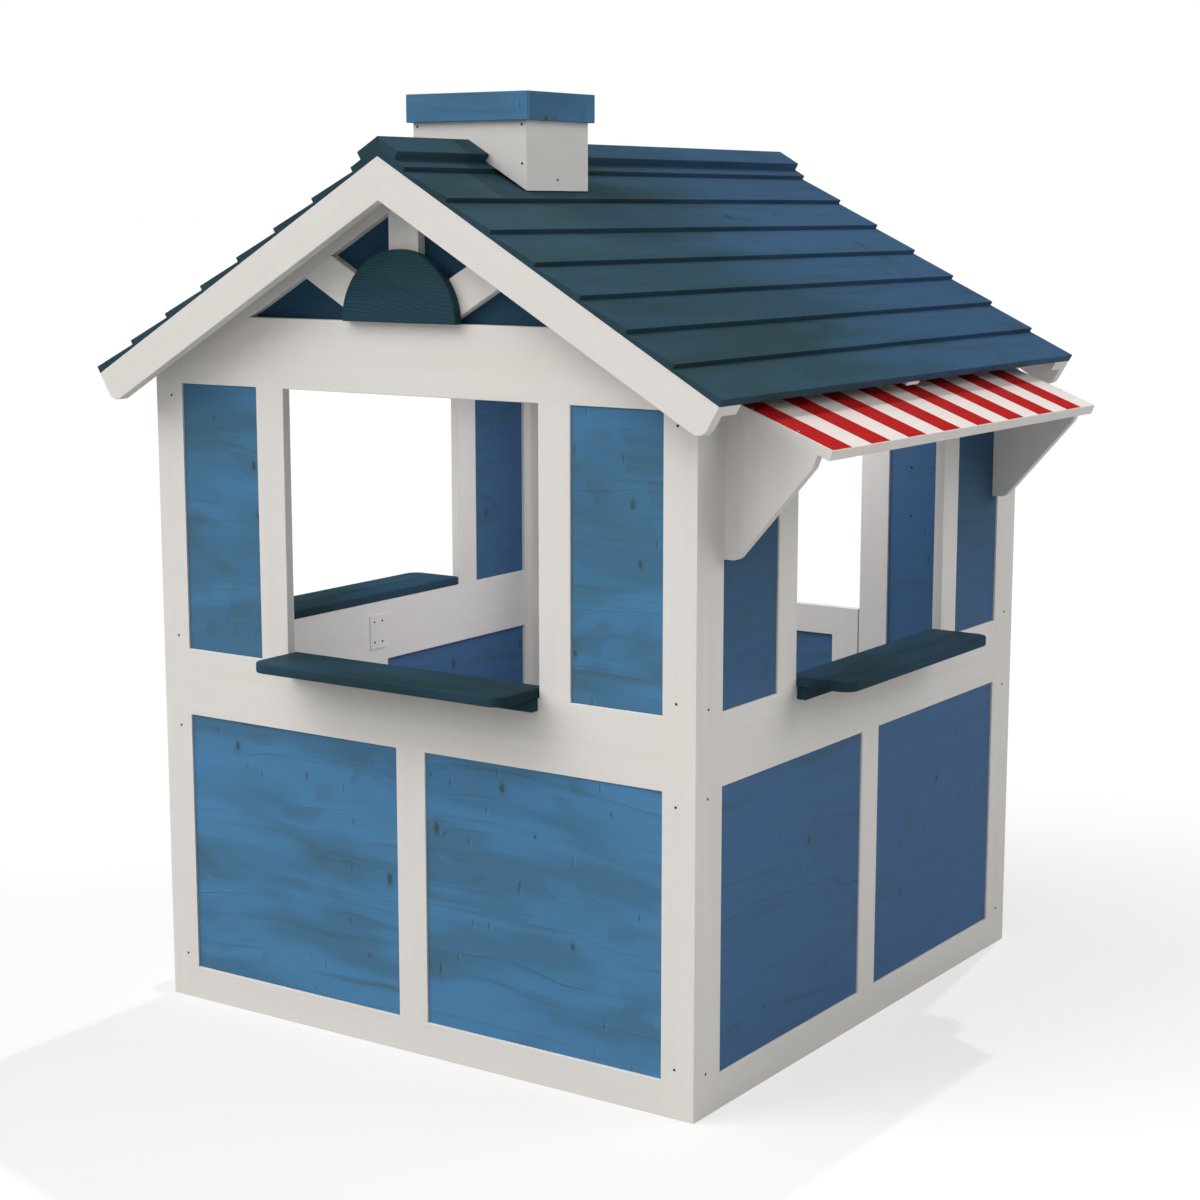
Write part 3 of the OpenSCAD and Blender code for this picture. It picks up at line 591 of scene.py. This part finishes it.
def isBare(edge):
    middle = (edge.verts[0].co + edge.verts[1].co) / 2
    one, two = (face.normal for face in edge.link_faces)
    reach = boards["probe"]
    for out, side in ((one, two), (two, one)):
        point = middle + (out - side) * reach
        if any(isInside(solid, point) for solid in solids):
            return False
    return True


# directions of one board: along its fibres, across them, and through its thickness; of two
# faces or edges that are as large, the same one is always taken
def directionsOf(verts, run):
    faces = once(f for v in verts for f in v.link_faces)
    edges = once(e for v in verts for e in v.link_edges)
    enough = max(f.calc_area() for f in faces) * boards["alike"]
    through = max((f.normal.copy() for f in faces if f.calc_area() > enough), key=rounded)
    if run == "level":
        along = Vector((0, 0, 1)).cross(through).normalized()
    elif run == "upright":
        along = Vector((0, 0, 1))
    else:
        enough = max(e.calc_length() for e in edges) * boards["alike"]
        ways = [(e.verts[1].co - e.verts[0].co).normalized() for e in edges
                if e.calc_length() > enough]
        along = max(ways + [-way for way in ways], key=rounded)
    return along, through.cross(along).normalized(), through


def rememberBoards(bm, run):
    kept = []
    for group in groupsOf(bm):
        shift = Vector([dice.uniform(*boards["shift"]) for _ in range(3)])
        kept.append({"middle": middleOf(group), "ways": directionsOf(group, run),
                     "shift": shift, "tone": dice.uniform(-1, 1)})
    return kept


# drift runs from the front of the house to the back, and the painted shade runs from a board's
# foot to its head, darkest at the tops of the upper panels, where the awning and the eaves shade
# them
def writeGrain(bm, kept, drift=(0, 0), damp=(0, 0)):
    grain = bm.verts.layers.float_vector.new("grain")
    tone = bm.verts.layers.float.new("tone")
    turn = bm.verts.layers.float.new("drift")
    dark = bm.verts.layers.float.new("damp")
    low, high = cadBox[0][1], cadBox[1][1]
    for group in groupsOf(bm):
        middle = middleOf(group)
        foot, head = (end.z for end in boxOf(group))
        board = min(kept, key=lambda k: (k["middle"] - middle).length)
        for vert in group:
            away = vert.co - board["middle"]
            vert[grain] = Vector([away.dot(d) for d in board["ways"]]) + board["shift"]
            vert[tone] = board["tone"]
            share = (vert.co.y - low) / (high - low)
            vert[turn] = drift[0] + (drift[1] - drift[0]) * share
            vert[dark] = damp[0] + (damp[1] - damp[0]) * (vert.co.z - foot) / (head - foot)


def easeEdges(bm, radius, everyEdge=True):
    corners = [e for e in bm.edges if len(e.link_faces) == 2
               and e.calc_face_angle(0) > math.radians(boards["corner"])
               and (everyEdge or isBare(e))]
    bmesh.ops.bevel(bm, geom=corners, offset=radius, segments=boards["steps"], profile=0.5,
                    affect="EDGES", material=-1, clamp_overlap=True)


def finishPiece(bm, name, body, materials, replaced):
    bm.normal_update()
    for edge in bm.edges:
        edge.smooth = edge.calc_face_angle(0) < math.radians(boards["curve"])
    for face in bm.faces:
        face.smooth = True
    mesh = bpy.data.meshes.new(name)
    bm.to_mesh(mesh)
    bm.free()
    piece = bpy.data.objects.new(name, mesh)
    for material in materials:
        mesh.materials.append(material)
    bpy.context.scene.collection.objects.link(piece)
    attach(piece, body)
    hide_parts(*replaced)
    return piece


def camel(node):
    first, *rest = node.split("_")
    return first + "".join(word.capitalize() for word in rest)


def makeBoards(node, material, run="long", body="house", ease=None, flush=False,
               drift=(0, 0), damp=(0, 0)):
    bm = mergedCopy(node)
    kept = rememberBoards(bm, run)
    closeMitres(bm)
    if node.startswith("chimney"):
        closeSeams(bm)
    if flush:
        scoreAtNeighbours(bm)
    easeEdges(bm, ease or boards["ease"], not flush)
    if flush:
        joinFlatFaces(bm)
    writeGrain(bm, kept, drift, damp)
    return finishPiece(bm, camel(node), body, [material], [node])


walls = ["front", "right", "left"]
whiteBoards = {
    "long": [
        *[f"{wall}_{part}" for wall in walls
          for part in ("stiles", "bottom_rail", "mid_rail", "post", "jambs")],
        "front_head_board", "right_top_rail", "left_top_rail", "back_stiles",
        "back_bottom_rails", "back_head_board", "back_jambs", "front_gable_strips",
        "back_gable_strips", "corner_posts", "roof_battens", "front_bargeboards",
        "back_bargeboards", "joint_plates", "door_stop",
    ],
    "upright": ["sun_rays", "awning_brackets"],
    "level": ["chimney_walls"],
}
for run, names in whiteBoards.items():
    for node in names:
        makeBoards(node, whitePaint, run, flush=True)

panels = {
    "drift": {"front": (0, 0), "right": (0.7, 0.9), "left": (0.7, 0.9), "back": (0.8, 0.8)},
    # painted shade on each wall's upper panels, given at their foot and their head: darkest at the
    # top of the right wall, under the awning
    "upperDamp": {"front": (0, 0.2), "right": (0.2, 0.8), "left": (0.1, 0.4)},
}
for wall in walls:
    for row, damp in (("lower", (0, 0)), ("upper", panels["upperDamp"][wall])):
        makeBoards(f"{wall}_{row}_panels", blueStain, "level",
                   drift=panels["drift"][wall], damp=damp)
makeBoards("back_panels", blueStain, "level", drift=panels["drift"]["back"])
makeBoards("chimney_band", blueStain, drift=(0.3, 0.3))
makeBoards("chimney_lid", blueStain)

for node in ("front_gable_panel", "back_gable_panel"):
    makeBoards(node, gableStain, "level")
makeBoards("shelf_battens", shelfStain)
for node in ("roof_boards_left", "roof_boards_right", "ridge_boards"):
    makeBoards(node, darkStain, ease=0.0016, flush=True, drift=(-0.75, 0.95))
makeBoards("shelves", shelfStain, ease=0.0025)
makeBoards("sun_disc", discStain, "level", ease=0.002)

for node in ("door_stiles", "door_rails"):
    makeBoards(node, whitePaint, body="door", flush=True)
makeBoards("door_panel", blueStain, "level", body="door",
           drift=panels["drift"]["back"])
print("boards planed")


# awning: one board, with red stripes painted on its top
awning = {"stripes": 16, "firstRed": 0}


def paintAwning():
    node = "awning_board"
    bm = mergedCopy(node)
    kept = rememberBoards(bm, "long")
    top = max((f for f in bm.faces if f.normal.z > 0.5), key=lambda f: f.calc_area()).normal.copy()
    scoreAtNeighbours(bm)
    easeEdges(bm, boards["ease"], False)
    low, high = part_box(node)
    width = (high.y - low.y) / awning["stripes"]
    for i in range(1, awning["stripes"]):
        cutAcross(bm, 1, low.y + i * width)
    bm.normal_update()
    for face in bm.faces:
        if face.normal.dot(top) > 0.99:
            stripe = int((face.calc_center_median().y - low.y) / width)
            face.material_index = 1 if stripe % 2 == awning["firstRed"] else 2
    writeGrain(bm, kept)
    paints = [whitePaint, redPaint, creamPaint]
    finishPiece(bm, "awningBoard", "house", paints, [node])


paintAwning()
print("awning painted")


# hinges, knob and screws
hinge = {"ease": 0.0003}


def makeSteel(node, body):
    bm = mergedCopy(node)
    easeEdges(bm, hinge["ease"])
    return finishPiece(bm, camel(node), body, [hingeSteel], [node])


makeSteel("hinge_wall_leaves", "house")
makeSteel("hinge_pins", "house")
makeSteel("hinge_door_leaves", "door")

# shares of the knob's radius or length, and angles of its round head in degrees
knob = {
    "steps": 40, "neck": 0.5, "neckEnd": 0.34, "foot": 0.002, "footHeight": 0.003,
    "crown": 0.62, "crownHeight": 0.38, "headFrom": -50, "headTo": 90, "headSteps": 9,
}


# the knob is turned about a level line, with its fibres along that line
def turnKnob():
    low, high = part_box("door_knob")
    middle = (low + high) / 2
    radius, length = (high.x - low.x) / 2, high.y - low.y
    bm = bmesh.new()
    neck = knob["neck"] * radius
    outline = [(0, 0), (neck + knob["foot"], 0), (neck, knob["footHeight"]),
               (neck, length * knob["neckEnd"])]
    for i in range(knob["headSteps"] + 1):
        turned = (knob["headTo"] - knob["headFrom"]) * i / knob["headSteps"]
        angle = math.radians(knob["headFrom"] + turned)
        level = knob["crown"] + knob["crownHeight"] * math.sin(angle)
        outline.append((radius * max(math.cos(angle), 0.0), length * level))
    outline[-1] = (0, length)
    verts = [bm.verts.new((r, y, 0)) for r, y in outline]
    edges = [bm.edges.new(pair) for pair in zip(verts, verts[1:])]
    bmesh.ops.spin(bm, geom=verts + edges, cent=(0, 0, 0), axis=(0, 1, 0), dvec=(0, 0, 0),
                   angle=math.tau, steps=knob["steps"], use_merge=True)
    bmesh.ops.remove_doubles(bm, verts=bm.verts, dist=0.00002)
    bmesh.ops.recalc_face_normals(bm, faces=bm.faces)
    bmesh.ops.translate(bm, verts=bm.verts, vec=(middle.x, low.y, middle.z))
    kept = [{"middle": middle, "tone": 0.0, "shift": Vector((8, 8, 8)),
             "ways": (Vector((0, 1, 0)), Vector((1, 0, 0)), Vector((0, 0, 1)))}]
    writeGrain(bm, kept)
    finishPiece(bm, "doorKnob", "door", [whitePaint], ["door_knob"])


turnKnob()

# shares of a screw's radius, and the depth of its cross
screws = {
    "rim": 12, "slot": 0.22, "grid": 0.62, "crown": 0.86, "depth": 0.0004,
    "pale": ("awning_board", "joint_plates"),   # what the bright screws hold
}


# pan head with a cross in it: a small square grid, joined to a round rim
def addScrew(bm, place, out, radius, height, finish):
    arm = radius * screws["slot"]
    reach = radius * screws["grid"]
    grid = bmesh.ops.create_grid(bm, x_segments=3, y_segments=3, size=reach)["verts"]
    for vert in grid:
        for i in (0, 1):
            if abs(vert.co[i]) < reach * 0.9:
                vert.co[i] = math.copysign(arm, vert.co[i])
        vert.co.z = height
    faces = once(f for v in grid for f in v.link_faces)
    border = once(e for f in faces for e in f.edges if len(e.link_faces) == 1)
    rim = bmesh.ops.create_circle(bm, segments=screws["rim"],
                                  radius=radius * screws["crown"])["verts"]
    halfStep = Matrix.Rotation(math.pi / screws["rim"], 3, "Z")
    bmesh.ops.rotate(bm, verts=rim, cent=(0, 0, 0), matrix=halfStep)
    for vert in rim:
        vert.co.z = height
    rimEdges = once(e for v in rim for e in v.link_edges)
    bmesh.ops.bridge_loops(bm, edges=border + rimEdges)
    for level in (height / 2, 0.0):
        ring = bmesh.ops.extrude_edge_only(bm, edges=rimEdges)["geom"]
        rim = [v for v in ring if isinstance(v, bmesh.types.BMVert)]
        rimEdges = [e for e in ring if isinstance(e, bmesh.types.BMEdge)
                    and all(v in rim for v in e.verts)]
        for vert in rim:
            flat = vert.co.to_2d().normalized() * radius
            vert.co = (flat.x, flat.y, level)
    bmesh.ops.contextual_create(bm, geom=rimEdges)
    cross = [f for f in faces if min(abs(x) for x in f.calc_center_median()[:2]) < arm * 0.5]
    sunk = bmesh.ops.extrude_face_region(bm, geom=cross)["geom"]
    bmesh.ops.delete(bm, geom=[f for f in cross if f.is_valid], context="FACES_ONLY")
    bmesh.ops.translate(bm, verts=[v for v in sunk if isinstance(v, bmesh.types.BMVert)],
                        vec=(0, 0, -screws["depth"]))
    fresh = [v for v in bm.verts if not v.tag]
    turn = Vector((0, 0, 1)).rotation_difference(out).to_matrix()
    bmesh.ops.rotate(bm, verts=fresh, cent=(0, 0, 0), matrix=turn)
    bmesh.ops.translate(bm, verts=fresh, vec=place)
    for vert in fresh:
        vert.tag = True
        for face in vert.link_faces:
            face.material_index = finish


# a head faces away from the board that it lies on
def facingOf(group, place):
    faces = once(f for v in group for f in v.link_faces)
    out = max(faces, key=lambda f: f.calc_area()).normal.copy()
    height = max(abs((v.co - place).dot(out)) for v in group) * 2
    for sign in (1, -1):
        point = place - out * sign * (height / 2 + boards["probe"])
        under = [solid["node"] for solid in solids if isInside(solid, point)]
        if under:
            return out * sign, height, under[0]
    return out, height, ""


def makeScrews(node, body):
    source = mergedCopy(node)
    bm = bmesh.new()
    for group in groupsOf(source):
        place = middleOf(group)
        out, height, under = facingOf(group, place)
        radius = max((v.co - place - out * (v.co - place).dot(out)).length for v in group)
        addScrew(bm, place - out * height / 2, out, radius, height,
                 int(under in screws["pale"]))
    source.free()
    return finishPiece(bm, camel(node), body, [screwSteel, paleSteel], [node])


makeScrews("wall_screws", "house")
makeScrews("door_screws", "door")
print("fittings made")


# plain studio: pale floor, bright surround, soft lights
studio = {
    "floorSize": 200,
    "floorShade": 0.45, "floorShadow": 0.33, "floorLift": 0.59,   # what it casts, shows, glows
    "surround": (0.9, 0.95, 1.0), "glow": 0.01,
    # way that the light travels, power, width in degrees, colour
    "lights": [
        ("top", (0.2, 0.4, -1.0), 1.3, 45, (1.0, 0.99, 0.97)),
        ("left", (0.6, 0.7, -0.6), 1.38, 45, (1.0, 0.985, 0.96)),
        ("farLeft", (0.9, 0.4, -0.6), 0.5, 45, (1.0, 0.985, 0.96)),
        ("front", (-0.4, 0.8, -0.6), 0.62, 45, (1.0, 0.99, 0.975)),
        ("back", (-0.7, -0.58, -0.5), 1.4, 45, (1.0, 0.99, 0.985)),
        ("sharp", (0.07, -0.495, -1), 1.0, 1.0, (1, 1, 1)),
    ],
    "room": {"place": (-0.04, 0.1, 1.02), "size": 0.7, "power": 4.2, "colour": (1, 0.96, 0.955)},
}


# pale floor that shows only part of the shadows that fall on it
def makeFloor():
    bm = bmesh.new()
    bmesh.ops.create_grid(bm, x_segments=1, y_segments=1, size=studio["floorSize"])
    mesh = bpy.data.meshes.new("floor")
    bm.to_mesh(mesh)
    bm.free()
    floor = bpy.data.objects.new("floor", mesh)
    bpy.context.scene.collection.objects.link(floor)
    made, tree = newMaterial("floor")
    shade, shadow, lift = studio["floorShade"], studio["floorShadow"], studio["floorLift"]
    seen = addNode(tree, "BsdfDiffuse", {"Color": (shadow, shadow, shadow, 1)})
    glow = addNode(tree, "Emission", {"Color": (1, 1, 1, 1), "Strength": lift})
    both = addNode(tree, "AddShader")
    tree.links.new(seen.outputs[0], both.inputs[0])
    tree.links.new(glow.outputs[0], both.inputs[1])
    cast = addNode(tree, "BsdfDiffuse", {"Color": (shade, shade, shade, 1)})
    path = addNode(tree, "LightPath")
    pick = addNode(tree, "MixShader", {0: path.outputs["Is Camera Ray"]})
    tree.links.new(cast.outputs[0], pick.inputs[1])
    tree.links.new(both.outputs[0], pick.inputs[2])
    out = addNode(tree, "OutputMaterial")
    tree.links.new(pick.outputs[0], out.inputs[0])
    mesh.materials.append(made)


def addRoomLight(room):
    lamp = bpy.data.lights.new("room", "AREA")
    lamp.size = room["size"]
    lamp.energy = room["power"]
    lamp.color = room["colour"]
    made = bpy.data.objects.new("room", lamp)
    made.location = room["place"]
    made.visible_camera = False
    made.visible_glossy = False
    bpy.context.scene.collection.objects.link(made)


def addSun(name, way, power, width, colour):
    lamp = bpy.data.lights.new(name, "SUN")
    lamp.energy = power
    lamp.angle = math.radians(width)
    lamp.color = colour
    made = bpy.data.objects.new(name, lamp)
    made.rotation_euler = Vector(way).to_track_quat("-Z", "Y").to_euler()
    bpy.context.scene.collection.objects.link(made)


def makeSurround():
    world = bpy.data.worlds.new("surround")
    bpy.context.scene.world = world
    world.use_nodes = True
    tree = world.node_tree
    tree.nodes.clear()
    seen = addNode(tree, "Background", {"Color": (1, 1, 1, 1), "Strength": 1.0})
    glow = addNode(tree, "Background", {"Color": (*studio["surround"], 1),
                                        "Strength": studio["glow"]})
    path = addNode(tree, "LightPath")
    pick = addNode(tree, "MixShader", {0: path.outputs["Is Camera Ray"]})
    tree.links.new(glow.outputs[0], pick.inputs[1])
    tree.links.new(seen.outputs[0], pick.inputs[2])
    out = addNode(tree, "OutputWorld")
    tree.links.new(pick.outputs[0], out.inputs[0])


makeFloor()
makeSurround()
for light in studio["lights"]:
    addSun(*light)
addRoomLight(studio["room"])
bpy.context.scene.view_settings.view_transform = "Standard"
print("studio set")
